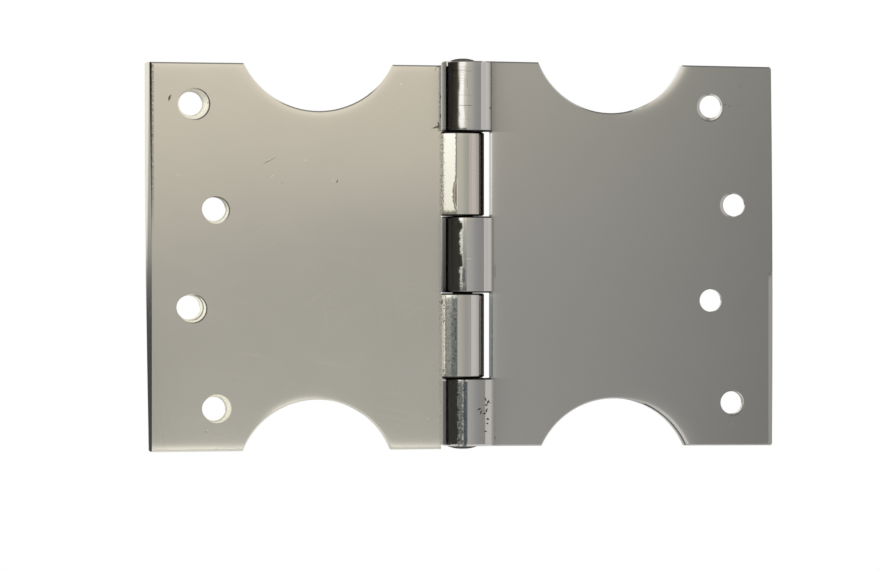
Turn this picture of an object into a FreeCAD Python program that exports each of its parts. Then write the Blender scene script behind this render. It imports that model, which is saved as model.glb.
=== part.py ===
import FreeCAD, Part
import math
import os

# A parliament hinge opened flat: two wide leaves, rolled round one pin that is peened over at both ends.
# Z runs up the pin's axis and X across the open hinge, towards the leaf with three knuckles.
# -Y is the outer side, the one that lies against the door and its frame.
# The origin is on the pin's axis, halfway up the stack of knuckles.
# Sizes are in millimetres and angles in degrees.

# Sheet and pin
sheet = 2.8
pin_diameter = 5.0
pin_clearance = 0.05
seam_gap = 0.25

# Knuckles from the top down: the first, third and fifth are rolled from the right leaf
knuckle_lengths = (17.35, 20.6, 18.85, 20.75, 16.75)
knuckle_gap = 0.15
knuckle_break = 0.3

# Section through a knuckle, measured from the pin's axis. The roll is polished flat near its crest:
# this facet leaves the round barrel at a tilt, ends at a ridge and steps down to the leaf at a foot.
outer_level = 4.3
facet_radius = 37.0
right_facet_tilt = 0.0
right_ridge_reaches = (3.85, 4.6, 4.9)
right_foot_reaches = (5.7, 6.2, 6.6)
right_ridge_bend = 1.5
right_foot_bend = 4.0
left_facet_tilt = -5.5
left_ridge_reaches = (2.4, 2.4)
left_foot_reaches = (5.5, 5.2)
left_ridge_bend = 0.4
left_foot_bend = 1.5
ridge_lead_in = 1.0

# Leaves. The right one's blank was sheared a little askew, so both of its long edges fall outwards,
# and the outer ends are bowed.
right_top_reach = 78.15
right_bottom_reach = 78.5
left_top_reach = 79.0
left_bottom_reach = 78.0
left_leaf_height = 94.4
left_leaf_drop = 0.9
right_leaf_fall = 0.46
left_leaf_fall = 0.0
right_end_bow = 0.25
left_end_bow = 0.2
right_cut_out_reach = 6.4
left_cut_out_reach = 6.2
corner_radius = 0.6
edge_break = 0.35

# Round notches in the top and bottom edges, each cut by hand, so no two are quite alike
notch_reach = 37.0
notch_width = 36.7
right_top_notch_shift = -0.3
right_bottom_notch_shift = 0.5
left_top_notch_shift = -0.3
left_bottom_notch_shift = 0.0
right_top_notch_depth = 12.25
right_bottom_notch_depth = 11.75
left_top_notch_depth = 11.5
left_bottom_notch_depth = 12.4

# Screw holes in two columns, countersunk on the inner side. Two drills wandered in each far column.
far_column_reach = 68.1
near_column_reach = 62.4
far_column_rows = (37.2, -12.2)
near_column_rows = (11.65, -36.8)
left_far_drifts = (0.0, 0.5)
right_far_drifts = (-0.3, 0.4)
left_hole_diameter = 5.75
right_hole_diameter = 5.6
countersink_diameter = 9.4
countersink_angle = 90.0

# The outer rims were dressed by hand with a shallow cutter that wandered off the holes' centres.
# For each hole: how far its dressing lies outwards and upwards of the centre, and how wide it is.
dressing_slope = 20.0
left_far_dressings = ((-0.65, 0.05, 7.6), (-0.95, -0.2, 6.9))
left_near_dressings = ((-0.6, -0.3, 6.5), (-0.85, 0.0, 7.1))
right_far_dressings = ((0.25, 0.0, 6.0), (-0.6, 0.0, 6.2))
right_near_dressings = ((0.0, 0.0, 5.7), (-0.2, -0.15, 6.75))

# The left leaf's outer end is ground to a slope, wide at the top where the blank reaches further
ground_edge_reach = 77.45
ground_slope = 60.0

# Peened ends of the pin
top_head_diameter = 6.5
bottom_head_diameter = 7.4
head_height = 0.9
head_lip = 0.2

# Derived sizes
bore_radius = pin_diameter / 2 + pin_clearance
barrel_radius = bore_radius + sheet
inner_level = outer_level - sheet
stack_height = sum(knuckle_lengths) + (len(knuckle_lengths) - 1) * knuckle_gap
cutter_margin = sheet
root_overlap = sheet / 2
bend_share = 0.45
same_place = 0.001


def knuckle_span(index):
    """The bottom and top of one knuckle, counted from the top of the stack."""
    above = sum(knuckle_lengths[:index]) + index * knuckle_gap
    top = stack_height / 2 - above
    return top - knuckle_lengths[index], top


def at(side, reach, level, height=0.0):
    """A point of a leaf: its reach from the pin, its level towards the outer side and its height."""
    return FreeCAD.Vector(side * reach, -level, height)


def bend(before, corner, after, radius):
    """A tangent arc in place of a corner, given as its start, middle and end."""
    back = (before - corner).normalize()
    ahead = (after - corner).normalize()
    half_angle = back.getAngle(ahead) / 2
    longest = bend_share * min((before - corner).Length, (after - corner).Length)
    tangent = min(radius / math.tan(half_angle), longest)
    inward = (back + ahead).normalize()
    centre_distance = tangent / math.cos(half_angle)
    bend_radius = tangent * math.tan(half_angle)
    start = corner + back * tangent
    middle = corner + inward * (centre_distance - bend_radius)
    end = corner + ahead * tangent
    return start, middle, end


def line(start, end):
    return Part.LineSegment(start, end).toShape()


def arc(start, middle, end):
    return Part.Arc(start, middle, end).toShape()


def facet(leaf, ridge_reach):
    """The facet near the crest, as its start, middle and ridge, and its direction at the ridge."""
    side = leaf["side"]
    start_tilt = math.radians(leaf["facet_tilt"])
    centre_distance = barrel_radius - facet_radius
    centre_reach = centre_distance * math.sin(start_tilt)
    centre_level = centre_distance * math.cos(start_tilt)
    end_tilt = math.asin((ridge_reach - centre_reach) / facet_radius)
    points = []
    for tilt in (start_tilt, (start_tilt + end_tilt) / 2, end_tilt):
        reach = centre_reach + facet_radius * math.sin(tilt)
        level = centre_level + facet_radius * math.cos(tilt)
        points.append(at(side, reach, level))
    return points, at(side, math.cos(end_tilt), -math.sin(end_tilt))


def knuckle(leaf, order):
    """One length of sheet rolled round the pin, with the step that brings it down to the leaf."""
    side = leaf["side"]
    foot_reach = leaf["feet"][order]
    root_reach = max(foot_reach, leaf["cut_out"]) + root_overlap
    seam_level = inner_level - seam_gap
    (facet_start, facet_middle, ridge), ridge_direction = facet(leaf, leaf["ridges"][order])
    foot = at(side, foot_reach, outer_level)
    outer_root = at(side, root_reach, outer_level)
    inner_root = at(side, root_reach, inner_level)
    roll_start = at(side, math.sqrt(bore_radius**2 - inner_level**2), inner_level)
    roll_end = at(side, math.sqrt(bore_radius**2 - seam_level**2), seam_level)
    tip = at(side, math.sqrt(barrel_radius**2 - seam_level**2), seam_level)
    ridge_bend = bend(ridge - ridge_direction * ridge_lead_in, ridge, foot, leaf["ridge_bend"])
    foot_bend = bend(ridge, foot, outer_root, leaf["foot_bend"])

    outside = [
        arc(tip, at(side, -barrel_radius, 0), facet_start),
        arc(facet_start, facet_middle, ridge_bend[0]),
        arc(*ridge_bend),
        line(ridge_bend[2], foot_bend[0]),
        arc(*foot_bend),
        line(foot_bend[2], outer_root),
    ]
    inside = [
        line(outer_root, inner_root),
        line(inner_root, roll_start),
        arc(roll_start, at(side, -bore_radius, 0), roll_end),
        line(roll_end, tip),
    ]
    bottom, top = knuckle_span(leaf["knuckles"][order])
    section = Part.Face(Part.Wire(outside + inside))
    section.translate(FreeCAD.Vector(0, 0, bottom))
    rolled = section.extrude(FreeCAD.Vector(0, 0, top - bottom))
    return break_ends(rolled, bottom, top)


def break_ends(rolled, bottom, top):
    """Takes the sharp outer rim off both ends of a knuckle."""
    rims = []
    for edge in rolled.Edges:
        box = edge.BoundBox
        flat = box.ZLength < same_place
        at_end = min(abs(box.ZMin - bottom), abs(box.ZMin - top)) < same_place
        middle = edge.valueAt((edge.FirstParameter + edge.LastParameter) / 2)
        radius = math.hypot(middle.x, middle.y)
        outer = radius > barrel_radius - same_place or middle.y < same_place - outer_level
        if flat and at_end and outer and middle.y < inner_level:
            rims.append(edge)
    return rolled.makeChamfer(knuckle_break, rims)


def on_rim(leaf, edge, reach, depth=0.0):
    """A point on the leaf's top or bottom edge, or at some depth in from it."""
    sign = 1 if edge == "top" else -1
    fall = (reach - leaf["cut_out"]) * math.tan(math.radians(leaf["fall"]))
    height = leaf["centre"] + sign * (leaf["height"] / 2 - depth) - fall
    return at(leaf["side"], reach, outer_level, height)


def notch_arc(leaf, edge):
    """The two ends and the deepest point of a notch in the leaf's top or bottom edge."""
    shift, depth = leaf[edge + "_notch"]
    reach = notch_reach + shift
    near = on_rim(leaf, edge, reach - notch_width / 2)
    far = on_rim(leaf, edge, reach + notch_width / 2)
    return near, on_rim(leaf, edge, reach, depth), far


def leaf_plate(leaf):
    """The flat part of a leaf, with its notches, rounded corners and broken edges."""
    top_near, top_deepest, top_far = notch_arc(leaf, "top")
    bottom_near, bottom_deepest, bottom_far = notch_arc(leaf, "bottom")
    inner_top = on_rim(leaf, "top", leaf["cut_out"])
    inner_bottom = on_rim(leaf, "bottom", leaf["cut_out"])
    outer_top = on_rim(leaf, "top", leaf["top_reach"])
    outer_bottom = on_rim(leaf, "bottom", leaf["bottom_reach"])
    top_corner = bend(top_far, outer_top, outer_bottom, corner_radius)
    bottom_corner = bend(outer_top, outer_bottom, bottom_far, corner_radius)
    end_middle = (top_corner[2] + bottom_corner[0]) / 2 + at(leaf["side"], leaf["bow"], 0)
    outline = [
        line(inner_top, top_near),
        arc(top_near, top_deepest, top_far),
        line(top_far, top_corner[0]),
        arc(*top_corner),
        arc(top_corner[2], end_middle, bottom_corner[0]),
        arc(*bottom_corner),
        line(bottom_corner[2], bottom_far),
        arc(bottom_far, bottom_deepest, bottom_near),
        line(bottom_near, inner_bottom),
        line(inner_bottom, inner_top),
    ]
    plate = Part.Face(Part.Wire(outline)).extrude(FreeCAD.Vector(0, sheet, 0))
    rims = [edge for edge in plate.Edges if is_outer_rim(leaf, edge)]
    return plate.makeChamfer(edge_break, rims)


def is_outer_rim(leaf, edge):
    """True for an edge round either face of a plate, but for the sharp one along the knuckles."""
    box = edge.BoundBox
    along_knuckles = max(abs(box.XMin), abs(box.XMax)) < leaf["cut_out"] + same_place
    return box.YLength < same_place and not along_knuckles


def screw_hole(leaf, reach, row, dressing):
    """The cutter for one screw hole: its bore, the countersink inside and the dressed rim outside."""
    side = leaf["side"]
    radius = leaf["hole"] / 2
    height = leaf["centre"] - side * row
    depth = (countersink_diameter / 2 - radius) / math.tan(math.radians(countersink_angle / 2))
    outwards, upwards, dressing_diameter = dressing
    dressing_depth = dressing_diameter / 2 * math.tan(math.radians(dressing_slope))
    inward = FreeCAD.Vector(0, 1, 0)
    bore_start = at(side, reach, outer_level + cutter_margin, height)
    bore = Part.makeCylinder(radius, sheet + 2 * cutter_margin, bore_start, inward)
    sink_start = at(side, reach, inner_level + depth, height)
    sink = Part.makeCone(radius, countersink_diameter / 2, depth, sink_start, inward)
    rim_start = at(side, reach + outwards, outer_level, height + upwards)
    rim = Part.makeCone(dressing_diameter / 2, 0, dressing_depth, rim_start, inward)
    return bore.fuse([sink, rim])


def screw_holes(leaf):
    """The cutters for all four screw holes of a leaf."""
    cutters = []
    for row, drift, dressing in zip(far_column_rows, leaf["far_drifts"], leaf["far_dressings"]):
        cutters.append(screw_hole(leaf, far_column_reach + drift, row, dressing))
    for row, dressing in zip(near_column_rows, leaf["near_dressings"]):
        cutters.append(screw_hole(leaf, near_column_reach, row, dressing))
    return cutters


def ground_end(leaf):
    """The cutter that grinds the outer face away towards the leaf's outer end."""
    side = leaf["side"]
    widest = max(leaf["top_reach"], leaf["bottom_reach"]) + leaf["bow"]
    width = widest - ground_edge_reach + cutter_margin
    depth = width * math.tan(math.radians(ground_slope))
    base = leaf["centre"] - leaf["height"]
    corners = [
        at(side, ground_edge_reach, outer_level, base),
        at(side, ground_edge_reach + width, outer_level, base),
        at(side, ground_edge_reach + width, outer_level - depth, base),
    ]
    wedge = Part.Face(Part.makePolygon(corners + corners[:1]))
    return wedge.extrude(FreeCAD.Vector(0, 0, 2 * leaf["height"]))


def build_leaf(leaf):
    """One leaf: the flat plate with its holes, and its knuckles rolled from the same sheet."""
    plate = leaf_plate(leaf)
    if leaf["ground"]:
        plate = plate.cut(ground_end(leaf))
    plate = plate.cut(screw_holes(leaf))
    knuckles = [knuckle(leaf, order) for order in range(len(leaf["knuckles"]))]
    return plate.fuse(knuckles).removeSplitter()


def build_pin():
    """The pin, turned about its axis, with a low dome peened over each end of the stack."""
    end = stack_height / 2
    radius = pin_diameter / 2
    top_radius = top_head_diameter / 2
    bottom_radius = bottom_head_diameter / 2
    top_apex = FreeCAD.Vector(0, 0, end + head_height)
    top_lip = FreeCAD.Vector(top_radius, 0, end + head_lip)
    bottom_apex = FreeCAD.Vector(0, 0, -end - head_height)
    bottom_lip = FreeCAD.Vector(bottom_radius, 0, -end - head_lip)
    half_section = [
        dome(top_apex, top_lip),
        line(top_lip, FreeCAD.Vector(top_radius, 0, end)),
        line(FreeCAD.Vector(top_radius, 0, end), FreeCAD.Vector(radius, 0, end)),
        line(FreeCAD.Vector(radius, 0, end), FreeCAD.Vector(radius, 0, -end)),
        line(FreeCAD.Vector(radius, 0, -end), FreeCAD.Vector(bottom_radius, 0, -end)),
        line(FreeCAD.Vector(bottom_radius, 0, -end), bottom_lip),
        dome(bottom_apex, bottom_lip),
        line(bottom_apex, top_apex),
    ]
    face = Part.Face(Part.Wire(half_section))
    return face.revolve(FreeCAD.Vector(0, 0, 0), FreeCAD.Vector(0, 0, 1), 360)


def dome(apex, lip):
    """The arc of a shallow dome, level at its apex on the axis."""
    rise = abs(apex.z - lip.z)
    radius = (lip.x**2 + rise**2) / (2 * rise)
    half_turn = math.asin(lip.x / radius) / 2
    sign = 1 if apex.z > 0 else -1
    centre_height = apex.z - sign * radius
    middle = FreeCAD.Vector(
        radius * math.sin(half_turn), 0, centre_height + sign * radius * math.cos(half_turn)
    )
    return arc(apex, middle, lip)


right_leaf = {
    "side": 1,
    "knuckles": (0, 2, 4),
    "centre": 0.0,
    "height": stack_height,
    "cut_out": right_cut_out_reach,
    "fall": right_leaf_fall,
    "bow": right_end_bow,
    "top_reach": right_top_reach,
    "bottom_reach": right_bottom_reach,
    "facet_tilt": right_facet_tilt,
    "ridges": right_ridge_reaches,
    "feet": right_foot_reaches,
    "ridge_bend": right_ridge_bend,
    "foot_bend": right_foot_bend,
    "top_notch": (right_top_notch_shift, right_top_notch_depth),
    "bottom_notch": (right_bottom_notch_shift, right_bottom_notch_depth),
    "hole": right_hole_diameter,
    "far_drifts": right_far_drifts,
    "far_dressings": right_far_dressings,
    "near_dressings": right_near_dressings,
    "ground": False,
}
left_leaf = {
    "side": -1,
    "knuckles": (1, 3),
    "centre": -left_leaf_drop,
    "height": left_leaf_height,
    "cut_out": left_cut_out_reach,
    "fall": left_leaf_fall,
    "bow": left_end_bow,
    "top_reach": left_top_reach,
    "bottom_reach": left_bottom_reach,
    "facet_tilt": left_facet_tilt,
    "ridges": left_ridge_reaches,
    "feet": left_foot_reaches,
    "ridge_bend": left_ridge_bend,
    "foot_bend": left_foot_bend,
    "top_notch": (left_top_notch_shift, left_top_notch_depth),
    "bottom_notch": (left_bottom_notch_shift, left_bottom_notch_depth),
    "hole": left_hole_diameter,
    "far_drifts": left_far_drifts,
    "far_dressings": left_far_dressings,
    "near_dressings": left_near_dressings,
    "ground": True,
}

os.makedirs("parts", exist_ok=True)
nodes = {
    "right_leaf": build_leaf(right_leaf),
    "left_leaf": build_leaf(left_leaf),
    "pin": build_pin(),
}
for name, shape in nodes.items():
    print(name, shape.isValid(), len(shape.Solids), round(shape.Volume, 1))
    shape.exportStep("parts/" + name + ".step")
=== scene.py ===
import math

import bmesh
import bpy
from mathutils import Matrix, Vector

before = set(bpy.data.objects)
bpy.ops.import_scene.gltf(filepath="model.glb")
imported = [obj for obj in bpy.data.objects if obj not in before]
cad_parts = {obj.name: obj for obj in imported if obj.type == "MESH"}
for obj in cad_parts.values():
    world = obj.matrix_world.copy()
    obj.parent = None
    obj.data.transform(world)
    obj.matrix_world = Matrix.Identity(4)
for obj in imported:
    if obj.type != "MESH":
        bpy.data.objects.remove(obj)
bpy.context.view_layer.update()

# Camera, matched to the photograph: its angles, its distance in metres, the pixels that a metre takes at the pin
# and how far in metres it is shifted sideways and up. The sensor's width in millimetres is only for its lens.
FRAME_WIDTH = 879
SENSOR_WIDTH = 36
YAW = math.radians(10.95)
PITCH = math.radians(0.29)
DISTANCE = 0.8
PIXELS_PER_METRE = 4038.8
OFFSET_RIGHT = -0.00568
OFFSET_UP = -0.00787

# The materials' places and sizes are millimetres in the part's frame: X across the open hinge, Z up the pin
MM_PER_METRE = 1000
# Knuckle ends from the top down
KNUCKLES = ((47.45, 30.1), (29.95, 9.35), (9.2, -9.65), (-9.8, -30.55), (-30.7, -47.45))

# Notches: centre X, centre Z and radius, then how the buffing wheel rounded the rim over: its lean, how far in
# from the rim it reaches, and its share along the arc from the pin's side (-1) to the far side (1)
LEFT_NOTCHES = (
    (-36.7, 54.84, 20.39, 0.03, 0.7, ((-1, 1.0), (1, 1.0))),
    (-37.0, -55.68, 19.78, 0.05, 0.9,
     ((-0.85, 0.3), (-0.5, 0.3), (-0.26, 0.4), (0, 0.7), (0.26, 1.0), (0.5, 1.0), (0.7, 0.3), (0.85, 0.0))),
)
RIGHT_NOTCHES = (
    (36.7, 55.08, 19.87, 0.3, 0.5, ((0.0, 0.0), (0.26, 0.35), (0.5, 0.7), (0.7, 1.0))),
    (37.5, -56.15, 20.2, 0.3, 0.3, ((-0.1, 0.0), (0.26, 0.3), (0.5, 0.8), (0.7, 1.0))),
)


def add_camera():
    """The photograph's camera, a little to the left of square and level with the hinge."""
    forward = Vector((
        math.sin(YAW) * math.cos(PITCH),
        math.cos(YAW) * math.cos(PITCH),
        -math.sin(PITCH),
    ))
    right = Vector((math.cos(YAW), -math.sin(YAW), 0))
    up = right.cross(forward)
    data = bpy.data.cameras.new("camera")
    data.sensor_fit = "HORIZONTAL"
    data.sensor_width = SENSOR_WIDTH
    data.lens = PIXELS_PER_METRE * DISTANCE / FRAME_WIDTH * SENSOR_WIDTH
    data.clip_start = 0.01
    camera = bpy.data.objects.new("camera", data)
    rotation = Matrix((right, up, -forward)).transposed().to_4x4()
    place = -forward * DISTANCE + right * OFFSET_RIGHT + up * OFFSET_UP
    camera.matrix_world = Matrix.Translation(place) @ rotation
    bpy.context.scene.collection.objects.link(camera)
    bpy.context.scene.camera = camera


def round_place(angle):
    """Where an angle lies on a ramp that goes once round, from -180 degrees at 0 to 180 degrees at 1."""
    return angle / 360 + 0.5


class Graph:
    """A short way to write node trees. Values are numbers or sockets."""

    def __init__(self, tree):
        self.tree = tree
        self.tree.nodes.clear()

    def node(self, kind, **settings):
        made = self.tree.nodes.new(kind)
        for name, value in settings.items():
            setattr(made, name, value)
        return made

    def plug(self, value, socket):
        if isinstance(value, bpy.types.NodeSocket):
            self.tree.links.new(value, socket)
        elif value is not None:
            socket.default_value = value

    def math(self, operation, a, b=None, c=None, clamp=False):
        made = self.node("ShaderNodeMath", operation=operation, use_clamp=clamp)
        for value, socket in zip((a, b, c), made.inputs):
            self.plug(value, socket)
        return made.outputs[0]

    def add(self, *values):
        total = values[0]
        for value in values[1:]:
            total = self.math("ADD", total, value)
        return total

    def times(self, *values):
        total = values[0]
        for value in values[1:]:
            total = self.math("MULTIPLY", total, value)
        return total

    def less(self, a, b):
        return self.math("SUBTRACT", a, b)

    def most(self, *values):
        total = values[0]
        for value in values[1:]:
            total = self.math("MAXIMUM", total, value)
        return total

    def rise(self, value, low, high):
        """0 below low, 1 above high and smooth between them. High may be the smaller one."""
        if low > high:
            return self.math("SUBTRACT", 1.0, self.rise(value, high, low))
        made = self.node("ShaderNodeMapRange", interpolation_type="SMOOTHSTEP")
        self.plug(value, made.inputs[0])
        made.inputs[1].default_value = low
        made.inputs[2].default_value = high
        return made.outputs[0]

    def band(self, value, low, high, soft):
        """1 between low and high, with soft ends."""
        above_low = self.rise(value, low - soft, low + soft)
        below_high = self.rise(value, high + soft, high - soft)
        return self.times(above_low, below_high)

    def fade(self, distance, reach):
        """1 at no distance, falling away exponentially."""
        near = self.math("MAXIMUM", distance, 0.0)
        return self.math("EXPONENT", self.math("MULTIPLY", near, -1.0 / reach))

    def mix(self, factor, a, b, blend="MIX"):
        """Two colours mixed. The node's colour sockets share their names with others, so they go by number."""
        made = self.node("ShaderNodeMix", data_type="RGBA", blend_type=blend)
        self.plug(factor, made.inputs[0])
        self.plug(a, made.inputs[6])
        self.plug(b, made.inputs[7])
        return made.outputs[2]

    def ring(self, around, stops):
        """A closed ring through (degrees, colour) stops. A ramp holds 32 stops, so the ring is in two halves."""
        half = len(stops) // 2
        places = [(round_place(angle), colour) for angle, colour in stops]
        first = self.ramp(around, places[:half + 1])
        second = self.ramp(around, places[half:])
        return self.mix(self.math("GREATER_THAN", around, places[half][0]), first, second)

    def vector(self, x, y, z):
        made = self.node("ShaderNodeCombineXYZ")
        for value, socket in zip((x, y, z), made.inputs):
            self.plug(value, socket)
        return made.outputs[0]

    def parts(self, vector):
        made = self.node("ShaderNodeSeparateXYZ")
        self.plug(vector, made.inputs[0])
        return made.outputs

    def noise(self, place, scale, detail=3.0, roughness=0.5, output="Fac"):
        """Noise from 0 to 1, in patches of about 1/scale."""
        made = self.node("ShaderNodeTexNoise")
        self.plug(place, made.inputs["Vector"])
        made.inputs["Scale"].default_value = scale
        made.inputs["Detail"].default_value = detail
        made.inputs["Roughness"].default_value = roughness
        return made.outputs[output]

    def ramp(self, factor, stops):
        """A ramp through (place, colour) stops. A number in a colour's place is a grey."""
        made = self.node("ShaderNodeValToRGB")
        elements = made.color_ramp.elements
        while len(elements) < len(stops):
            elements.new(1.0)
        for element, (place, colour) in zip(elements, stops):
            element.position = place
            element.color = (*colour, 1.0) if isinstance(colour, tuple) else (colour, colour, colour, 1.0)
        self.plug(factor, made.inputs[0])
        return made.outputs[0]


# What the polished metal mirrors, going round from the front (-Y) towards +X. Angles in degrees.
# The high ring is seen above the edge of a slanting reflector, and the low ring below it.
BLACK = (0.03, 0.03, 0.027)
SOFTBOX = (1.56, 1.57, 1.5)
WHITE = (1.4, 1.39, 1.3)
HIGH_RING = (
    (-180, WHITE),
    (-116, (1.3, 1.28, 1.18)),
    (-110, (0.8, 0.8, 0.75)),
    (-105, (0.28, 0.28, 0.27)),
    (-100, (0.06, 0.06, 0.058)),
    (-94, BLACK),
    (-66, (0.034, 0.034, 0.026)),
    (-50, (0.06, 0.055, 0.045)),
    (-42, (0.075, 0.065, 0.05)),
    (-37, (0.13, 0.12, 0.085)),
    (-32, (0.44, 0.42, 0.32)),
    (-27, (1.2, 1.2, 1.0)),
    (-23, SOFTBOX),
    (-6, SOFTBOX),
    (-3, (1.3, 1.29, 1.15)),
    (0, (0.82, 0.81, 0.69)),
    (4, (0.79, 0.745, 0.65)),
    (6, (0.765, 0.718, 0.63)),
    (8.5, (0.80, 0.745, 0.655)),
    (11, (0.755, 0.705, 0.61)),
    (13, (0.69, 0.67, 0.58)),
    (14.4, (0.63, 0.625, 0.545)),
    (16, (0.53, 0.53, 0.475)),
    (18.4, (0.435, 0.435, 0.415)),
    (20.5, (0.39, 0.38, 0.37)),
    (23.6, (0.35, 0.345, 0.33)),
    (31, (0.66, 0.64, 0.60)),
    (44, (0.81, 0.79, 0.74)),
    (56, (0.79, 0.77, 0.74)),
    (70, (0.64, 0.62, 0.61)),
    (84, (0.52, 0.52, 0.52)),
    (93, (0.36, 0.36, 0.36)),
    (101, (0.09, 0.09, 0.085)),
    (112, (0.026, 0.025, 0.022)),
    (165, (0.04, 0.04, 0.036)),
    (172, WHITE),
    (180, WHITE),
)
LOW_RING = (
    (-180, (0.16, 0.17, 0.18)),
    (-167, (0.30, 0.30, 0.30)),
    (-160, (0.56, 0.545, 0.50)),
    (-146, (0.54, 0.53, 0.49)),
    (-138, (0.22, 0.215, 0.20)),
    (-124, (0.175, 0.175, 0.175)),
    (-114, (0.13, 0.135, 0.15)),
    (-106, (0.068, 0.068, 0.067)),
    (-98, (0.05, 0.05, 0.045)),
    (-40, (0.046, 0.047, 0.041)),
    (-32, (0.072, 0.075, 0.063)),
    (-27, (0.16, 0.165, 0.145)),
    (-21, (0.25, 0.26, 0.23)),
    (-11, (0.27, 0.29, 0.265)),
    (-7, (0.36, 0.37, 0.34)),
    (-2.4, (0.18, 0.205, 0.21)),
    (0.3, (0.11, 0.128, 0.132)),
    (4, (0.125, 0.135, 0.13)),
    (5.4, (0.53, 0.52, 0.485)),
    (8, (0.54, 0.535, 0.50)),
    (11, (0.58, 0.575, 0.54)),
    (13, (0.59, 0.585, 0.55)),
    (14.6, (0.57, 0.565, 0.53)),
    (15.4, (0.53, 0.53, 0.50)),
    (16.4, (0.48, 0.475, 0.455)),
    (18.5, (0.43, 0.43, 0.425)),
    (20.1, (0.405, 0.405, 0.40)),
    (23.6, (0.35, 0.345, 0.33)),
    (31, (0.66, 0.645, 0.61)),
    (44, (0.76, 0.745, 0.71)),
    (58, (0.75, 0.735, 0.70)),
    (70, (0.67, 0.665, 0.66)),
    (84, (0.58, 0.575, 0.575)),
    (93, (0.38, 0.38, 0.37)),
    (101, (0.09, 0.085, 0.08)),
    (112, (0.045, 0.04, 0.038)),
    (168, (0.06, 0.06, 0.055)),
    (180, (0.16, 0.17, 0.18)),
)
# The middle of the reflector's edge and how wide it is, both as elevations at some angles round
EDGE_MIDDLE = (
    (-180, 0.1), (-100, 0.1), (-60, -0.4), (-28, -0.75), (-15, -0.1), (-8, 0.5), (-3, 0.55), (0, 0.35),
    (3, 0.15), (8, 1.6), (24, 1.6), (60, 0.6), (106, -0.5), (180, 0.1),
)
EDGE_WIDTH = (
    (-180, 0.8), (-40, 0.8), (-5, 1.2), (3, 1.0), (7, 3.7), (24, 3.7), (60, 3.0), (110, 0.7), (180, 0.8),
)
# A ramp holds 0 to 1, so it has those elevations as shares of this span, and the middle from half of it below 0
EDGE_SPAN = 10.0
# How many degrees further round the softbox begins where it is seen lowest
SOFTBOX_SLANT = 5.5
# Plain parts of the studio, and what shows behind the hinge
DIMMED = (0.0, 0.0, 0.0, 1.0)
CEILING = (1.0, 0.99, 0.94, 1.0)
OVERHEAD = (0.32, 0.32, 0.31, 1.0)
GROUND = (0.75, 0.74, 0.70, 1.0)
BACKDROP = (1.0, 1.0, 1.0, 1.0)


def add_world():
    """A plain soft studio: a softbox in front, dark flags beside it and a pale room behind and above.

    The camera itself sees a white backdrop in its place.
    """
    world = bpy.data.worlds.new("studio")
    bpy.context.scene.world = world
    world.use_nodes = True
    g = Graph(world.node_tree)
    x, y, z = g.parts(g.node("ShaderNodeTexCoord").outputs["Generated"])
    turn = g.times(g.math("ARCTAN2", x, g.times(y, -1.0)), math.degrees(1))
    around = g.math("MULTIPLY_ADD", turn, 1 / 360, round_place(0))
    elevation = g.times(g.math("ARCSINE", z), math.degrees(1))
    middle = g.ramp(around, [(round_place(angle), value / EDGE_SPAN + 0.5) for angle, value in EDGE_MIDDLE])
    width = g.ramp(around, [(round_place(angle), value / EDGE_SPAN) for angle, value in EDGE_WIDTH])
    from_middle = g.less(elevation, g.math("MULTIPLY_ADD", middle, EDGE_SPAN, -EDGE_SPAN / 2))
    above_edge = g.rise(g.math("DIVIDE", from_middle, g.times(width, EDGE_SPAN)), -0.5, 0.5)
    low = g.ring(around, LOW_RING)
    # The softbox's left side slants, so it begins further round where it is seen lower down
    slant = g.times(g.rise(elevation, 3.0, 0.3), g.rise(turn, -60.0, -45.0), g.rise(turn, -8.0, -16.0))
    high = g.ring(g.math("MULTIPLY_ADD", slant, -SOFTBOX_SLANT / 360, around), HIGH_RING)
    # It is a little dimmer lower down
    dimmer = g.times(g.rise(turn, -60.0, -30.0), g.rise(turn, 0.0, -6.0), g.rise(elevation, 2.6, 1.9))
    high = g.mix(g.times(dimmer, 0.12), high, DIMMED)
    ring = g.mix(above_edge, low, high)
    # In front, the reflector brightens towards its top, and to the left also towards its foot
    front = g.band(turn, -1.0, 24.0, 2.0)
    left = g.rise(turn, 14.0, 10.0)
    upper = g.times(front, g.rise(elevation, 2.6, 5.6), g.math("MULTIPLY_ADD", left, 0.19, 0.09))
    lower = g.times(front, left, g.add(
        g.times(g.rise(elevation, -1.2, -2.8), 0.05),
        g.times(g.rise(elevation, -2.8, -7.5), 1.4),
    ))
    brighter = g.add(1.0, upper, lower)
    ring = g.mix(1.0, ring, g.vector(brighter, brighter, brighter), "MULTIPLY")
    # A white ceiling, darker right overhead, and a pale ground
    light = g.mix(g.rise(elevation, 16.0, 26.0), ring, CEILING)
    light = g.mix(g.rise(elevation, 50.0, 62.0), light, OVERHEAD)
    light = g.mix(g.rise(elevation, -12.0, -17.0), light, GROUND)
    background = g.node("ShaderNodeBackground")
    g.plug(light, background.inputs[0])
    backdrop = g.node("ShaderNodeBackground")
    backdrop.inputs[0].default_value = BACKDROP
    both = g.node("ShaderNodeMixShader")
    g.plug(g.node("ShaderNodeLightPath").outputs["Is Camera Ray"], both.inputs[0])
    g.plug(background.outputs[0], both.inputs[1])
    g.plug(backdrop.outputs[0], both.inputs[2])
    g.plug(both.outputs[0], g.node("ShaderNodeOutputWorld").inputs[0])


FLOOR_HEIGHT = -0.35
FLOOR_RADIUS = 2.2


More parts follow.
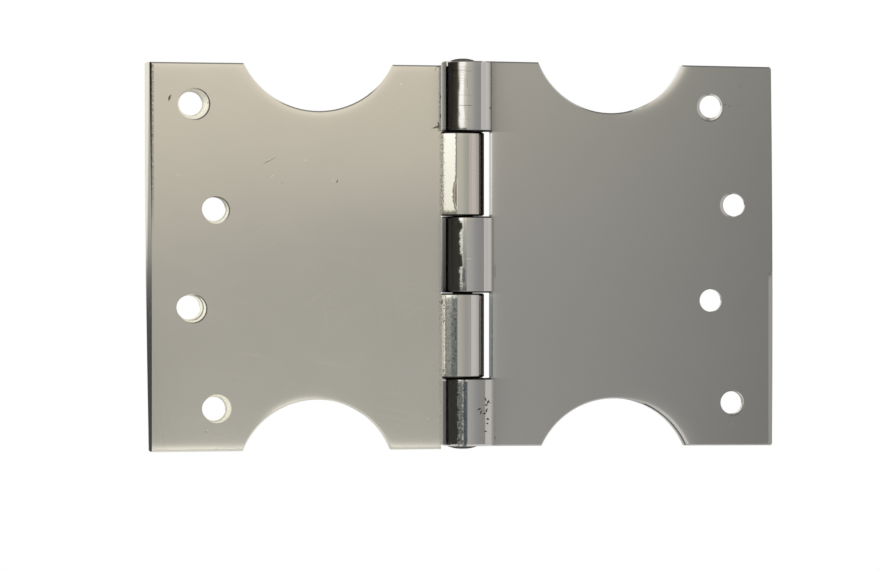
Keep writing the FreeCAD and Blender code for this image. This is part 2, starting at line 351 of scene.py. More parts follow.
def add_floor():
    """A plain pale floor, well below the hinge, which is held upright by its leaf. Sizes are metres."""
    mesh = bpy.data.meshes.new("floor")
    shape = bmesh.new()
    bmesh.ops.create_circle(shape, cap_ends=True, radius=FLOOR_RADIUS, segments=96)
    shape.to_mesh(mesh)
    shape.free()
    floor = bpy.data.objects.new("floor", mesh)
    floor.location.z = FLOOR_HEIGHT
    bpy.context.scene.collection.objects.link(floor)
    material = bpy.data.materials.new("pale_floor")
    material.use_nodes = True
    g = Graph(material.node_tree)
    cloudy = g.noise(g.node("ShaderNodeTexCoord").outputs["Object"], 1.5)
    shader = g.node("ShaderNodeBsdfPrincipled")
    g.plug(g.mix(cloudy, (0.86, 0.855, 0.84, 1), (0.92, 0.915, 0.90, 1)), shader.inputs["Base Color"])
    shader.inputs["Roughness"].default_value = 0.7
    g.plug(shader.outputs[0], g.node("ShaderNodeOutputMaterial").inputs[0])
    mesh.materials.append(material)


def add_lights():
    """One large soft lamp overhead, which lights the floor evenly. The metal doesn't mirror it."""
    data = bpy.data.lights.new("overhead", "AREA")
    data.shape = "DISK"
    data.size = 1.6
    data.energy = 14
    lamp = bpy.data.objects.new("overhead", data)
    lamp.location = (0, -0.2, 1.5)
    lamp.visible_glossy = False
    bpy.context.scene.collection.objects.link(lamp)


# How far a faint wobble leans the polished metal's normal, and how deep in millimetres the fine scratches are
WOBBLE = 0.002
SCRATCH_DEPTH = 0.0006
# The scratches' directions in degrees, and how far the noise that makes them is drawn out along each
SCRATCHES = ((12, 60.0), (-38, 45.0), (84, 70.0))


class Metal:
    """One polished part's material, with helpers that work in millimetres on the part."""

    def __init__(self, name, dark, pale, rough):
        self.material = bpy.data.materials.new(name)
        self.material.use_nodes = True
        self.g = g = Graph(self.material.node_tree)
        coordinates = g.node("ShaderNodeTexCoord")
        scale = g.node("ShaderNodeVectorMath", operation="SCALE")
        g.plug(coordinates.outputs["Object"], scale.inputs[0])
        scale.inputs["Scale"].default_value = MM_PER_METRE
        self.place = scale.outputs[0]
        self.x, self.y, self.z = g.parts(self.place)
        self.normal = coordinates.outputs["Normal"]
        self.normal_x, self.normal_y, self.normal_z = g.parts(self.normal)
        self.front = g.rise(self.normal_y, -0.86, -0.97)
        self.jittered = self.jitter(2.2, 0.25)
        self.uneven_x = g.parts(self.jittered)[0]
        self.tilts_x = []
        self.tilts_z = []
        # The polish's own texture: cloudy patches, a faint wobble and fine scratches
        self.cloud = g.noise(self.place, 0.06, 3.0)
        wobble_x, _, wobble_z = g.parts(g.noise(self.place, 0.12, 2.0, output="Color"))
        self.tilt(*(g.math("MULTIPLY_ADD", wobble, 2 * WOBBLE, -WOBBLE) for wobble in (wobble_x, wobble_z)))
        lines = []
        for angle, stretch in SCRATCHES:
            made = g.node("ShaderNodeMapping", vector_type="TEXTURE")
            g.plug(self.place, made.inputs["Vector"])
            made.inputs["Rotation"].default_value = (0, math.radians(angle), 0)
            made.inputs["Scale"].default_value = (stretch, 1.0, 1.0)
            lines.append(g.rise(g.noise(made.outputs[0], 3.2, 2.0), 0.64, 0.74))
        self.scratch = g.most(*lines)
        self.speckle = g.noise(self.place, 3.0, 3.0, 0.6)
        self.colour = g.mix(self.cloud, (*dark, 1.0), (*pale, 1.0))
        self.rough = g.add(rough, g.times(self.cloud, 0.03), g.times(self.scratch, 0.05))

    def jitter(self, scale, reach):
        """The place on the part, moved about by noise, which makes the edges of marks uneven."""
        g = self.g
        moved = g.node("ShaderNodeVectorMath", operation="MULTIPLY_ADD")
        g.plug(g.noise(self.place, scale, 1.0, output="Color"), moved.inputs[0])
        moved.inputs[1].default_value = (2 * reach, 2 * reach, 2 * reach)
        shifted = g.node("ShaderNodeVectorMath", operation="ADD")
        g.plug(self.place, shifted.inputs[0])
        shifted.inputs[1].default_value = (-reach, -reach, -reach)
        g.plug(shifted.outputs[0], moved.inputs[2])
        return moved.outputs[0]

    def tilt(self, x=None, z=None):
        """Leans the surface's normal: x and z are added to it, before its length is made 1 again."""
        if x is not None:
            self.tilts_x.append(x)
        if z is not None:
            self.tilts_z.append(z)

    def stain(self, mask, colour, rough=0.0):
        """Another colour over the metal where the mask is 1, and some roughness more."""
        self.colour = self.g.mix(mask, self.colour, (*colour, 1.0))
        if rough:
            self.rough = self.g.math("MULTIPLY_ADD", mask, rough, self.rough)

    def tint(self, mask, colour):
        """The metal's own colour multiplied by another one where the mask is 1."""
        self.colour = self.g.mix(mask, self.colour, (*colour, 1.0), "MULTIPLY")

    def across(self, low, high, soft=0.1):
        """1 between two X, 0 elsewhere."""
        return self.g.band(self.x, low, high, soft)

    def along(self, low, high, soft=0.1):
        """1 between two Z, 0 elsewhere."""
        return self.g.band(self.z, low, high, soft)

    def knuckle(self, index):
        """1 at the height of a knuckle, counted from the top."""
        top, bottom = KNUCKLES[index]
        return self.along(bottom, top, 0.05)

    def from_point(self, x, z):
        """The distance from a point seen from the front, and the unit direction away from it."""
        g = self.g
        across = g.less(self.x, x)
        up = g.less(self.z, z)
        distance = g.math("SQRT", g.add(g.times(across, across), g.times(up, up)))
        return distance, g.math("DIVIDE", across, distance), g.math("DIVIDE", up, distance)

    def spot(self, x, z, length, width, angle):
        """1 inside an oval mark on the front, whatever its depth there, and 0 outside it."""
        g = self.g
        made = g.node("ShaderNodeMapping", vector_type="TEXTURE")
        g.plug(self.jittered, made.inputs["Vector"])
        made.inputs["Location"].default_value = (x, 0, z)
        made.inputs["Rotation"].default_value = (0, -math.radians(angle), 0)
        made.inputs["Scale"].default_value = (length / 2, 1000, width / 2)
        size = g.node("ShaderNodeVectorMath", operation="LENGTH")
        g.plug(made.outputs[0], size.inputs[0])
        return g.times(g.rise(size.outputs["Value"], 1.0, 0.5), g.rise(self.normal_y, 0.0, -0.2))

    def streaks(self, across, along, detail=3.0, roughness=0.55):
        """Noise drawn out one way: across and along are how fine it is across the part and up it."""
        g = self.g
        return g.noise(g.vector(g.times(self.x, across), 0.0, g.times(self.z, along)), 1.0, detail, roughness)

    def finish(self):
        """Joins everything to the shader."""
        g = self.g
        shader = g.node("ShaderNodeBsdfPrincipled")
        shader.inputs["Metallic"].default_value = 1.0
        g.plug(self.colour, shader.inputs["Base Color"])
        g.plug(self.rough, shader.inputs["Roughness"])
        lean = g.vector(g.add(*self.tilts_x), 0.0, g.add(*self.tilts_z))
        summed = g.node("ShaderNodeVectorMath", operation="ADD")
        g.plug(self.normal, summed.inputs[0])
        g.plug(lean, summed.inputs[1])
        turned = g.node("ShaderNodeVectorTransform", vector_type="NORMAL",
                        convert_from="OBJECT", convert_to="WORLD")
        g.plug(summed.outputs[0], turned.inputs[0])
        unit = g.node("ShaderNodeVectorMath", operation="NORMALIZE")
        g.plug(turned.outputs[0], unit.inputs[0])
        bump = g.node("ShaderNodeBump")
        bump.inputs["Distance"].default_value = 1 / MM_PER_METRE
        bump.inputs["Strength"].default_value = 1.0
        g.plug(g.times(self.scratch, -SCRATCH_DEPTH), bump.inputs["Height"])
        g.plug(unit.outputs[0], bump.inputs["Normal"])
        g.plug(bump.outputs[0], shader.inputs["Normal"])
        g.plug(shader.outputs[0], g.node("ShaderNodeOutputMaterial").inputs[0])
        return self.material


# Colours that lie over the metal's own. The first one is black and is put on thinly as painted shade, which
# darkens the metal.
SHADE_BLACK = (0.0, 0.0, 0.0)
# Grime, also put on as painted shade in the gaps between the knuckles, on the walls beside them, on the barrels'
# left flanks and on the pin inside them
GRIME_AND_SHADE = (0.035, 0.032, 0.028)
SCRAPED = (0.93, 0.91, 0.87)
TARNISH = (0.09, 0.075, 0.06)
PITTED = (0.07, 0.06, 0.05)
SEAM_DIRT = (0.10, 0.09, 0.075)
END_DIRT = (0.12, 0.115, 0.11)
RIM_SHADE_LINE = (0.12, 0.11, 0.10)
RIM_SHADE = (0.30, 0.28, 0.25)
HEAD_DARK = (0.03, 0.03, 0.027)
CHIP_DIRT = (0.16, 0.13, 0.09)
LINE_DIRT = (0.11, 0.095, 0.075)
# Painted shade for the right leaf's cut-out wall
WALL_SHADE = (0.09, 0.085, 0.07)
DARK_REFLECTION_SPECKS = (0.10, 0.11, 0.12)
BLUE_BAND_REFLECTION = (0.06, 0.08, 0.10)
BLUE_REFLECTION = (0.03, 0.06, 0.095)
REDDISH = (0.86, 0.45, 0.40)

# The screw holes' dressed rims: centre X and Z, radius, and the direction in degrees and strength of the dark
# line of painted shade round each
LEFT_RIMS = (
    (-67.15, 36.2, 3.8, 0, 1.0),
    (-61.8, 10.45, 3.25, 40, 1.0),
    (-67.55, -13.45, 3.45, 0, 1.0),
    (-61.65, -37.7, 3.6, 10, 0.3),
    (-68.0, 36.35, 3.05, 0, 0.35),
    (-62.3, 10.75, 3.0, 10, 0.4),
    (-68.0, -13.15, 3.1, 0, 0.8),
    (-62.3, -37.75, 3.05, -10, 0.4),
)
RIGHT_RIMS = (
    (62.15, 36.55, 3.4, -40, 0.6),
    (67.8, 12.05, 3.0, 20, 0.5),
    (67.8, -37.4, 3.05, 0, 0.7),
)

# Marks on the outer side: X, Z, length, width, angle in degrees and strength
LEFT_DARK_MARKS = (
    # Beside the top screw hole
    (-73.2, 37.6, 1.7, 0.8, 75, 0.9), (-72.8, 38.3, 0.6, 0.4, 0, 0.8),
    (-63.8, 36.5, 0.5, 0.35, 80, 0.7), (-64.3, 38.9, 0.45, 0.3, 40, 0.5),
    # Scratches and a chip on the plate
    (-48.9, 22.6, 4.6, 0.26, 28, 0.6), (-32.1, 17.6, 0.9, 0.45, 60, 0.9), (-45.6, 17.3, 0.45, 0.35, 0, 0.5),
    # Along the seam, beside the fourth knuckle and then the first
    (-6.0, -11.9, 1.6, 0.7, 80, 0.75), (-5.6, -28.8, 1.2, 0.6, 60, 0.75), (-5.5, -16.6, 0.9, 0.45, 60, 0.8),
    (-7.3, 31.1, 3.0, 0.6, 15, 0.85), (-6.9, 31.5, 2.4, 0.6, 95, 0.85), (-6.4, 38.6, 1.1, 0.6, 80, 0.85),
    (-6.3, 33.9, 1.4, 0.6, 85, 0.8), (-7.0, 45.9, 1.4, 0.4, 10, 0.5), (-7.6, 45.3, 0.7, 0.3, 60, 0.5),
    # Near the foot
    (-64.3, -43.3, 0.6, 0.3, 20, 0.5), (-9.3, -40.9, 0.4, 0.2, 0, 0.3),
)
LEFT_SCRAPES = (
    (-48.9, 22.82, 4.4, 0.2, 28, 0.6), (-48.0, 18.9, 1.9, 0.25, 34, 0.5), (-33.1, 17.8, 1.2, 0.2, 0, 0.4),
    (-45.6, 17.5, 0.4, 0.25, 0, 0.5), (-39.9, 22.8, 0.45, 0.3, 0, 0.6), (-32.8, 24.8, 0.9, 0.2, -40, 0.5),
    (-71.2, 19.0, 0.4, 0.3, 0, 0.6), (-70.4, 18.6, 0.7, 0.25, 20, 0.5), (-69.4, 19.0, 0.35, 0.3, 0, 0.6),
    (-16.2, 41.6, 0.5, 0.3, 0, 0.8), (-16.7, 35.7, 0.4, 0.3, 0, 0.7), (-7.5, 30.6, 0.9, 0.3, 15, 0.7),
    (-9.5, -40.65, 0.6, 0.35, 20, 0.8), (-64.0, -43.0, 0.7, 0.3, 20, 0.7), (-57.5, -43.3, 0.5, 0.3, 0, 0.7),
)
RIGHT_PITS = (
    # Two squiggles and some dots on the bottom knuckle
    (4.8, -35.9, 1.4, 0.55, 110, 1.0), (5.5, -36.6, 1.6, 0.6, 60, 1.0), (5.0, -37.3, 1.0, 0.55, 0, 1.0),
    (3.2, -38.3, 1.3, 0.55, 20, 1.0), (3.6, -39.1, 1.3, 0.55, 80, 1.0), (5.1, -38.7, 1.6, 0.6, 70, 1.0),
    (4.5, -39.4, 1.1, 0.5, -10, 1.0), (5.4, -40.75, 0.85, 0.6, 0, 1.0), (5.25, -41.9, 0.75, 0.55, 0, 1.0),
    (4.8, -43.8, 0.75, 0.55, 0, 1.0), (6.0, -36.8, 0.5, 0.4, 0, 0.9), (7.4, -45.4, 0.9, 0.5, 70, 0.8),
    # Beside the top knuckle
    (6.1, 35.9, 0.6, 0.4, 60, 0.9), (6.3, 40.5, 0.4, 0.3, 0, 0.7), (6.5, 44.0, 0.4, 0.3, 0, 0.7),
    # On the plate, most of them near the top screw hole
    (18.9, -37.9, 0.6, 0.35, 30, 0.7), (71.3, 44.3, 0.35, 0.3, 0, 0.8), (70.2, 42.0, 0.35, 0.3, 0, 0.7),
    (69.75, 37.3, 0.5, 0.35, 0, 0.8), (66.2, 37.4, 0.45, 0.35, 0, 0.8), (67.3, 36.9, 0.4, 0.3, 0, 0.7),
    (71.8, -33.2, 0.4, 0.3, 0, 0.7),
)
RIGHT_SCRAPES = (
    (50.4, -39.8, 0.5, 0.3, 0, 0.7), (68.1, -42.5, 0.4, 0.3, 0, 0.4), (0.4, -1.3, 2.6, 0.16, 0, 0.8),
    (-5.6, -9.4, 1.6, 0.7, 60, 0.5),
)
RIGHT_SMUDGES = ((7.3, -4.3, 4.6, 0.9, 90, 0.22),)

# Strips of the knuckles that were ground to a lean of their own: the knuckle, from X to X, how soft and the lean
LEFT_STRIPS = (
    (1, -2.2, 0.55, 0.1, -0.03),
    (1, -6.45, -5.8, 0.1, -0.03),
    (3, -2.2, 0.5, 0.1, -0.012),
    (3, 0.5, 1.05, 0.05, -0.13),
    (3, -5.1, -2.35, 0.1, 0.235),
)
RIGHT_STRIPS = (
    (2, -1.0, -0.45, 0.1, 0.06),
    (4, -0.2, 0.22, 0.05, -0.12),
)

# The notches' rims: how far their broken edge reaches from the circle, between which distances from there the
# buffing fades out, and the reach of its shine
NOTCH_BREAK = 0.3
NOTCH_FADE = (6.0, 4.0)
SHINE_REACH = 1.2
# The rims of the knuckles' ends: where they start from the end, how far in they reach and how far they lean
END_BREAK = 0.3
END_REACH = 0.35
END_LEAN = 0.08
# How far the painted shade in the gaps reaches onto each knuckle
GAP_REACH = 0.38
# The screw holes lie further out than this
HOLES_FROM = 55.0
# The left leaf's edges: its top and bottom in Z, its far end and the side beside the knuckles in X
LEFT_TOP = 45.95
LEFT_BOTTOM = -47.75
LEFT_END = -78.5
LEFT_SIDE = -6.2
# The X of the right leaf's cut-outs beside the other leaf's knuckles
RIGHT_CUT = 6.57


def round_notches(metal, notches):
    """The buffing wheel rounded the rims of the notches over, more on some arcs than on others.

    Returns how strongly each place beside a rim was buffed.
    """
    g = metal.g
    buffed = []
    for x, z, radius, most_lean, reach, arcs in notches:
        distance, away_x, away_z = metal.from_point(x, z)
        from_rim = g.less(distance, radius + NOTCH_BREAK)
        outward = g.times(away_x, 1.0 if x > 0 else -1.0)
        shares = [(place / 2 + 0.5, value) for place, value in arcs]
        share = g.ramp(g.math("MULTIPLY_ADD", outward, 0.5, 0.5), shares)
        near = g.times(g.rise(from_rim, *NOTCH_FADE), metal.front, share)
        lean = g.times(g.fade(from_rim, reach), near, most_lean)
        metal.tilt(g.times(lean, away_x, -1.0), g.times(lean, away_z, -1.0))
        buffed.append(g.times(near, g.fade(from_rim, SHINE_REACH)))
    return g.most(*buffed)


def round_edge(metal, distance, reach, lean):
    """A long edge rounded over: distance is measured in from it, and a bottom edge has a lean below 0."""
    metal.tilt(z=metal.g.times(metal.g.fade(distance, reach), lean, metal.front))


def round_knuckles(metal, indexes, barrel):
    """The rims of the knuckles' ends rounded over."""
    g = metal.g
    for index in indexes:
        top, bottom = KNUCKLES[index]
        below_top = g.less(top - END_BREAK, metal.z)
        above_bottom = g.less(metal.z, bottom + END_BREAK)
        for inwards, lean in ((below_top, END_LEAN), (above_bottom, -END_LEAN)):
            metal.tilt(z=g.times(g.fade(inwards, END_REACH), g.rise(inwards, -0.5, 0.0), barrel, lean))


def shade_gaps(metal, ends, barrel):
    """Painted shade on the ends of the knuckles, where two of them meet."""
    for z in ends:
        metal.stain(metal.g.times(barrel, metal.along(z - GAP_REACH, z + GAP_REACH)), GRIME_AND_SHADE, 0.3)


def grind_strips(metal, strips):
    """Strips of the knuckles with a lean of their own."""
    for index, low, high, soft, lean in strips:
        metal.tilt(metal.g.times(metal.knuckle(index), metal.across(low, high, soft), lean))


def dress_holes(metal, rims, flatten, lean):
    """The screw holes' dressed rims: shallow, with a dark line of painted shade round their outside, strongest to
    one side.

    Flatten is how far their slope across is levelled, and lean is added to it. Returns where the slopes are.
    """
    g = metal.g
    cone = g.times(
        g.rise(metal.normal_y, -0.985, -0.97),
        g.rise(metal.normal_y, -0.85, -0.9),
        g.rise(g.math("ABSOLUTE", metal.x), HOLES_FROM, HOLES_FROM + 1.0),
    )
    metal.tilt(g.times(cone, g.math("MULTIPLY_ADD", metal.normal_x, -flatten, lean)),
               g.times(cone, g.less(0.06, metal.normal_z)))
    lines = []
    for x, z, radius, angle, strength in rims:
        distance, away_x, away_z = metal.from_point(x, z)
        across = g.times(away_x, math.cos(math.radians(angle)))
        up = g.times(away_z, math.sin(math.radians(angle)))
        side = g.rise(g.add(across, up), -0.5, 0.6)
        uneven = g.math("MULTIPLY_ADD", metal.speckle, 0.3, g.less(distance, 0.15))
        lines.append(g.times(g.band(uneven, radius - 0.17, radius + 0.12, 0.06), side, strength))
    # The upper part of the left leaf's two upper rims is in shade
    upper = g.times(
        cone,
        g.rise(metal.normal_z, 0.1, -0.25),
        g.rise(metal.x, 0.0, -1.0),
        g.rise(metal.z, 0.0, 5.0),
    )
    metal.stain(g.times(upper, 0.6), RIM_SHADE)
    # The dark line round each rim is painted shade
    metal.stain(g.most(*lines), RIM_SHADE_LINE, 0.1)
    return cone


def mark(metal, spots, colour, rough=0.0):
    """Small marks of one kind."""
    g = metal.g
    masks = [g.times(metal.spot(x, z, length, width, angle), strength)
             for x, z, length, width, angle, strength in spots]
    metal.stain(g.most(*masks), colour, rough)


def round_left_end(metal):
    """The left leaf's far end slopes: its outer part mirrors the bright side and its inner part the dark."""
    g = metal.g
    ground = g.times(g.rise(metal.normal_x, -0.7, -0.8), g.rise(metal.x, -76.5, -77.2))
    from_end = g.add(metal.x, -LEFT_END, g.times(metal.z, 0.0106))
    onset = g.less(from_end, g.math("MULTIPLY_ADD", metal.z, 0.02, -0.1))
    outer_part = g.times(g.rise(onset, 0.0, 0.4), 0.11)
    inner_part = g.times(g.rise(from_end, 1.0, 1.3), 0.34)
    metal.tilt(g.times(ground, g.add(outer_part, inner_part)))
    # A ragged dark strip beside it on the upper half
    ragged = g.times(
        g.rise(metal.x, -76.8, -77.15),
        g.rise(metal.z, 4.0, 16.0),
        g.rise(metal.speckle, 0.38, 0.56),
    )
    metal.stain(g.times(ragged, metal.front, 0.75), END_DIRT, 0.2)


def grind_second_knuckle(metal):
    """A flat along the left side, with a sharp border, narrower and reddish lower down, and chipped edges."""
    g = metal.g
    second = metal.knuckle(1)
    narrower = g.add(metal.uneven_x, g.times(metal.along(11.6, 17.6, 1.8), 0.65))
    bright = g.times(second, g.rise(metal.x, -5.6, -5.4), g.rise(narrower, -2.75, -2.95))
    border = g.times(second, g.band(narrower, -2.84, -2.36, 0.05))
    metal.tilt(g.times(bright, 0.09))
    metal.tilt(g.times(border, 0.45))
    metal.stain(g.times(metal.spot(-3.1, 14.8, 1.0, 4.6, 0.0), second, 0.3), REDDISH)
    foot = g.times(metal.along(9.4, 10.6, 0.3), metal.across(-5.9, -2.6, 0.3))
    left_edge = metal.across(-6.4, -5.6, 0.2)
    chipped = g.times(second, g.most(foot, left_edge), g.rise(metal.speckle, 0.47, 0.54))
    metal.stain(g.times(chipped, 0.65), CHIP_DIRT, 0.2)
    # A painted pinkish reflection tone on the knuckle's right side
    metal.tint(g.times(second, g.rise(metal.x, 0.5, 0.8)), (0.90, 0.85, 0.865))


def grind_fourth_knuckle(metal):
    """A mottled flat along the left side with a painted dark blue reflection towards the crest, and a ragged line
    on its left.
    """
    g = metal.g
    fourth = metal.knuckle(3)
    left_edge = g.times(fourth, g.rise(metal.x, -6.7, -5.6), g.rise(metal.x, -5.1, -5.3))
    metal.tilt(g.times(left_edge, -0.02), g.times(left_edge, 0.04))
    flat = g.times(fourth, metal.across(-5.1, -2.35))
    mottled = g.rise(metal.streaks(1.2, 1.8, 4.0, 0.65), 0.38, 0.62)
    metal.tilt(g.times(flat, g.math("MULTIPLY_ADD", mottled, 0.10, -0.05)))
    # A painted dark blue reflection on the flat towards the crest
    bluish = g.times(flat, g.math("MULTIPLY_ADD", mottled, 0.35, 0.3), g.rise(metal.uneven_x, -4.2, -3.3))
    metal.stain(bluish, BLUE_REFLECTION)
    ragged = g.times(fourth, g.band(metal.uneven_x, -5.4, -5.0, 0.08), g.rise(metal.speckle, 0.40, 0.5))
    metal.stain(g.times(ragged, 0.6), LINE_DIRT, 0.1)
    # A painted bluish reflection tone on the knuckle's right side
    metal.tint(g.times(fourth, g.rise(metal.x, 0.9, 1.1)), (0.93, 0.935, 0.97))


def soil_and_shade_left_seam(metal, plate):
    """Painted shade with grime on the wall beside the other leaf's knuckles, painted shade along the plate's edge
    and dirt in the seam.
    """
    g = metal.g
    # Painted shade with grime on the wall beside the other leaf's knuckles
    wall = g.times(g.rise(metal.normal_x, 0.8, 0.95), metal.across(-6.6, -5.8))
    metal.stain(g.times(wall, 0.85), GRIME_AND_SHADE, 0.3)
    # Painted shade on the plate along its edge beside the first and third knuckles
    beside_first = g.times(plate, g.rise(metal.z, 30.0, 30.2))
    beside_third = g.times(plate, metal.knuckle(2))
    from_side = g.less(LEFT_SIDE, metal.uneven_x)
    metal.tint(g.times(beside_first, g.fade(from_side, 1.1)), (0.78, 0.79, 0.82))
    metal.tint(g.times(beside_first, g.rise(from_side, 0.7, 0.4)), (0.62, 0.63, 0.66))
    metal.tint(g.times(beside_third, g.fade(from_side, 0.8)), (0.86, 0.87, 0.92))
    seam = g.times(metal.across(-6.75, -5.2, 0.2), g.rise(metal.speckle, 0.54, 0.60))
    heavier = g.math("MULTIPLY_ADD", metal.along(-17.0, -9.8, 1.0), 0.4, 0.5)
    metal.stain(g.times(seam, heavier), SEAM_DIRT, 0.2)


def left_leaf():
    metal = Metal("left_polished", (0.685, 0.665, 0.615), (0.715, 0.695, 0.645), 0.07)
    g = metal.g
    plate = g.rise(metal.x, -5.9, -6.1)
    barrel = g.less(1.0, plate)
    # Painted shade on the plate's lower half, stronger towards the pin
    lower_shade = g.times(plate, g.math("MULTIPLY_ADD", metal.x, 0.0021, 0.157), g.rise(metal.z, 26.0, 2.0))
    metal.stain(lower_shade, SHADE_BLACK)
    round_notches(metal, LEFT_NOTCHES)
    round_edge(metal, g.less(LEFT_TOP, metal.z), 0.8, 0.02)
    round_edge(metal, g.less(metal.z, LEFT_BOTTOM), 0.9, -0.05)
    round_left_end(metal)
    dress_holes(metal, LEFT_RIMS, 0.95, g.math("MULTIPLY_ADD", metal.speckle, -0.08, -0.025))
    round_knuckles(metal, (1, 3), barrel)
    grind_strips(metal, LEFT_STRIPS)
    grind_second_knuckle(metal)
    grind_fourth_knuckle(metal)
    shade_gaps(metal, (*KNUCKLES[1], *KNUCKLES[3]), barrel)
    soil_and_shade_left_seam(metal, plate)
    mark(metal, LEFT_DARK_MARKS, TARNISH, 0.2)
    mark(metal, LEFT_SCRAPES, SCRAPED)
    return metal.finish()


def shade_right_plate(metal, plate, buffed, cone):
    """The right plate is painted darker than the knuckles as shade, more so towards its far end and its foot.

    The buffed rims and the edges of the cut-outs are left out of this painted shade.
    """
    g = metal.g
    shade_amount = g.add(0.245, g.times(metal.x, 0.0015), g.times(metal.z, -0.0008))
    cut_outs = g.most(metal.knuckle(1), metal.knuckle(3))
    beside = g.times(cut_outs, g.fade(g.less(metal.x, 6.5), 0.9), 0.85)
    shining = g.most(buffed, beside, g.times(cone, 0.5))
    # Painted shade over the plate, leaving out the buffed rims, the cut-outs' edges and half of the hole slopes
    metal.stain(g.times(plate, shade_amount, g.less(1.0, shining)), SHADE_BLACK)
    metal.rough = g.add(metal.rough, g.times(plate, 0.02))
    # The notches' broken edges on their far side, and shade on the plate beside two of the knuckles
    broken = g.times(
        g.rise(metal.normal_y, -0.3, -0.5),
        g.rise(metal.normal_y, -0.9, -0.8),
        g.rise(metal.normal_x, -0.1, -0.3),
        metal.across(38.0, 58.0, 1.0),
    )
    metal.tilt(g.times(broken, metal.normal_x, -0.7), g.times(broken, metal.normal_z, -1.0))
    near = g.times(plate, g.fade(g.less(metal.x, 7.3), 2.5))
    metal.tint(g.times(metal.knuckle(0), near), (0.80, 0.81, 0.82))
    metal.tint(g.times(metal.knuckle(4), near), (0.87, 0.87, 0.88))


def lean_right_end(metal):
    """The broken edge at the right leaf's far end, plain above and brighter below."""
    g = metal.g
    broken = g.times(g.rise(metal.normal_x, 0.5, 0.65), g.rise(metal.x, 77.0, 77.3))
    metal.tilt(g.times(broken, g.math("MULTIPLY_ADD", g.rise(metal.z, -4.4, -5.0), 0.2, -0.65)))
    # A light line beside it, on the lower half of the front
    metal.tilt(g.times(metal.front, g.rise(metal.x, 77.35, 77.55), g.rise(metal.z, -4.4, -7.0), 0.3))


def dirt_and_shade_barrels(metal, barrel):
    """Dirt and painted shade on the left side of the first and third knuckles, and a narrow strip that leans
    further left.
    """
    g = metal.g
    metal.tilt(g.times(barrel, metal.across(-4.85, -4.3, 0.05), -0.27))
    # Dirt and painted shade on the barrel's left flank, beside the gap
    dirt_and_shade_mask = g.rise(metal.uneven_x, -4.4, -4.65)
    on_first = g.math("MULTIPLY_ADD", metal.x, 0.23, 1.97, clamp=True)
    on_third = g.times(g.math("ADD", metal.x, 6.5, clamp=True), 0.93)
    metal.stain(g.times(metal.knuckle(0), dirt_and_shade_mask, on_first), GRIME_AND_SHADE, 0.05)
    metal.stain(g.times(metal.knuckle(2), dirt_and_shade_mask, on_third), GRIME_AND_SHADE, 0.05)


def turn_first_knuckle(metal):
    """Fine rings near the top of the first knuckle, a few single lines, and a crest that isn't quite straight."""
    g = metal.g
    first = metal.knuckle(0)
    wobble = metal.streaks(0.7, 0.2, 2.0)
    metal.tilt(g.times(first, metal.across(-3.4, 0.2), g.math("MULTIPLY_ADD", wobble, 0.2, -0.1)))
    rings = g.times(g.rise(metal.streaks(0.05, 4.5, 2.0), 0.5, 0.62), first, metal.across(-3.6, -0.4, 0.3))
    metal.tint(g.times(rings, g.rise(metal.z, 41.5, 43.0), 0.8), (0.4, 0.37, 0.33))
    lines = [g.times(metal.along(z - 0.08, z + 0.08, 0.06), strength)
             for z, strength in ((36.47, 0.8), (44.9, 0.35), (39.0, 0.25), (33.1, 0.2))]
    metal.tint(g.times(first, metal.across(-1.9, 1.2, 0.5), g.most(*lines)), (0.3, 0.28, 0.24))


def break_third_crest(metal):
    """The third knuckle's blotchy crest, broken across in places, with a painted bluish grey reflection in one.
    """
    g = metal.g
    third = metal.knuckle(2)
    metal.tilt(g.times(third, g.rise(metal.x, -1.5, -1.9), g.rise(metal.x, -2.6, -2.3), -0.06))
    blotch = g.math("MULTIPLY_ADD", metal.streaks(0.7, 1.5, 3.0, 0.6), 0.5, -0.25)
    breaks = g.most(
        metal.along(6.0, 7.7, 0.3),
        metal.along(-3.1, -0.3, 0.3),
        g.rise(metal.streaks(0.1, 4.0, 2.0), 0.56, 0.64),
    )
    crest = g.times(third, metal.across(-2.2, -0.9, 0.15))
    metal.tilt(g.times(crest, g.add(blotch, g.times(breaks, -0.2))))
    # A painted bluish grey reflection on the crest
    metal.tint(g.times(metal.across(-1.1, -0.4, 0.05), metal.along(-7.0, -3.6, 0.2)), (0.5, 0.55, 0.6))


def pit_fifth_knuckle(metal):
    """A gritty stripe down the fifth knuckle with painted dark reflection between its glints, and a ragged band
    of painted dark blue reflection on its right.
    """
    g = metal.g
    fifth = metal.knuckle(4)
    grit = metal.streaks(1.5, 1.6, 2.0, 0.7)
    shining = g.rise(grit, 0.47, 0.54)
    stripe = g.times(fifth, metal.across(-2.3, -0.2, 0.2))
    metal.tilt(g.times(stripe, shining, 0.17))
    # Painted dark reflection between the glints
    metal.stain(g.times(stripe, g.less(1.0, shining), 0.65), DARK_REFLECTION_SPECKS, 0.1)
    # A ragged band of painted dark blue reflection
    band = g.times(fifth, metal.across(-0.75, 0.0, 0.1), g.rise(grit, 0.40, 0.50))
    metal.stain(g.times(band, 0.9), BLUE_BAND_REFLECTION, 0.1)


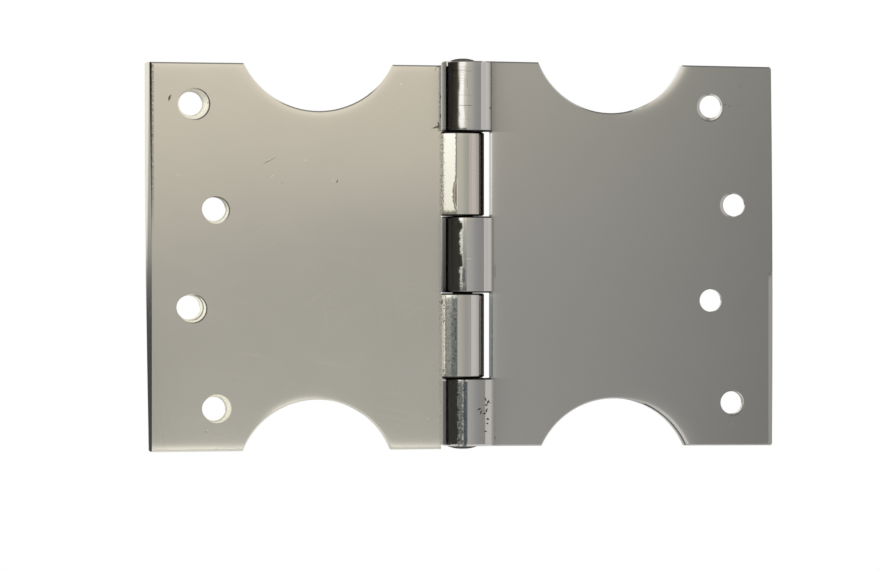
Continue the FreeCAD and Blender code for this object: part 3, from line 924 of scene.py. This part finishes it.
def edge_right_plate(metal):
    """Where the knuckles meet the plate, and the cut-outs' edges beside the other leaf's knuckles."""
    g = metal.g
    foot = metal.uneven_x
    # Painted shade where the first and third knuckles meet the plate
    first_foot = g.times(metal.knuckle(0), g.rise(foot, 6.15, 6.4), g.fade(g.less(foot, 6.5), 0.45))
    metal.tint(first_foot, (0.62, 0.62, 0.62))
    metal.tint(g.times(metal.knuckle(2), g.band(foot, 6.85, 7.25, 0.1), 0.9), (0.88, 0.87, 0.86))
    metal.tilt(g.times(metal.knuckle(4), g.band(foot, 6.75, 7.25, 0.1), 0.09))
    # Painted shade on the cut-out's wall beside the second knuckle
    wall = g.times(metal.knuckle(1), g.rise(metal.normal_x, -0.8, -0.95), metal.across(6.0, 6.9))
    metal.stain(g.times(wall, 0.7), WALL_SHADE, 0.1)
    # Each cut-out's rim: the knuckle beside it, where the rim ends, how far it leans and how far the plate does
    from_cut = g.less(metal.x, RIGHT_CUT)
    for index, rim_end, rim_lean, plate_lean in ((1, (0.05, -0.05), -0.25, -0.04), (3, (0.3, 0.2), -0.11, -0.02)):
        lean = g.add(g.times(g.rise(from_cut, *rim_end), rim_lean), g.times(g.fade(from_cut, 0.6), plate_lean))
        metal.tilt(g.times(metal.knuckle(index), g.rise(metal.x, 6.3, 6.4), metal.front, lean))


def right_leaf():
    # The right leaf's metal is a little darker than the left leaf's, which is painted shade
    metal = Metal("right_polished", (0.61, 0.60, 0.595), (0.63, 0.62, 0.615), 0.07)
    g = metal.g
    plate = g.rise(metal.x, 6.0, 7.0)
    barrel = g.less(1.0, plate)
    buffed = round_notches(metal, RIGHT_NOTCHES)
    cone = dress_holes(metal, RIGHT_RIMS, 0.0, 0.0)
    shade_right_plate(metal, plate, buffed, cone)
    lean_right_end(metal)
    round_knuckles(metal, (0, 2, 4), barrel)
    grind_strips(metal, RIGHT_STRIPS)
    dirt_and_shade_barrels(metal, barrel)
    turn_first_knuckle(metal)
    break_third_crest(metal)
    pit_fifth_knuckle(metal)
    edge_right_plate(metal)
    shade_gaps(metal, (KNUCKLES[0][1], *KNUCKLES[2], KNUCKLES[4][0]), barrel)
    mark(metal, RIGHT_PITS, PITTED, 0.2)
    mark(metal, RIGHT_SCRAPES, SCRAPED)
    mark(metal, RIGHT_SMUDGES, PITTED)
    return metal.finish()


def pin():
    """The pin, dark inside the knuckles with grime and painted shade. Its peened ends are dark round a paler
    middle.
    """
    metal = Metal("pin_polished", (0.50, 0.49, 0.46), (0.62, 0.61, 0.58), 0.16)
    g = metal.g
    # Grime and painted shade inside the knuckles
    metal.stain(metal.along(-47.4, 47.4), GRIME_AND_SHADE, 0.3)
    from_axis = g.math("SQRT", g.add(g.times(metal.x, metal.x), g.times(metal.y, metal.y)))
    heads = g.times(g.rise(g.math("ABSOLUTE", metal.z), 47.3, 47.5), g.rise(from_axis, 1.2, 2.4))
    metal.tilt(z=g.times(heads, metal.normal_z, -0.9))
    uneven = g.math("MULTIPLY_ADD", metal.speckle, 0.3, 0.76, clamp=True)
    metal.stain(g.times(heads, uneven), HEAD_DARK, 0.1)
    return metal.finish()


def assign(node, material):
    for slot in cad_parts[node].material_slots:
        slot.material = material


add_camera()
add_world()
add_floor()
add_lights()
assign("right_leaf", right_leaf())
assign("left_leaf", left_leaf())
assign("pin", pin())
bpy.context.scene.view_settings.view_transform = "Standard"
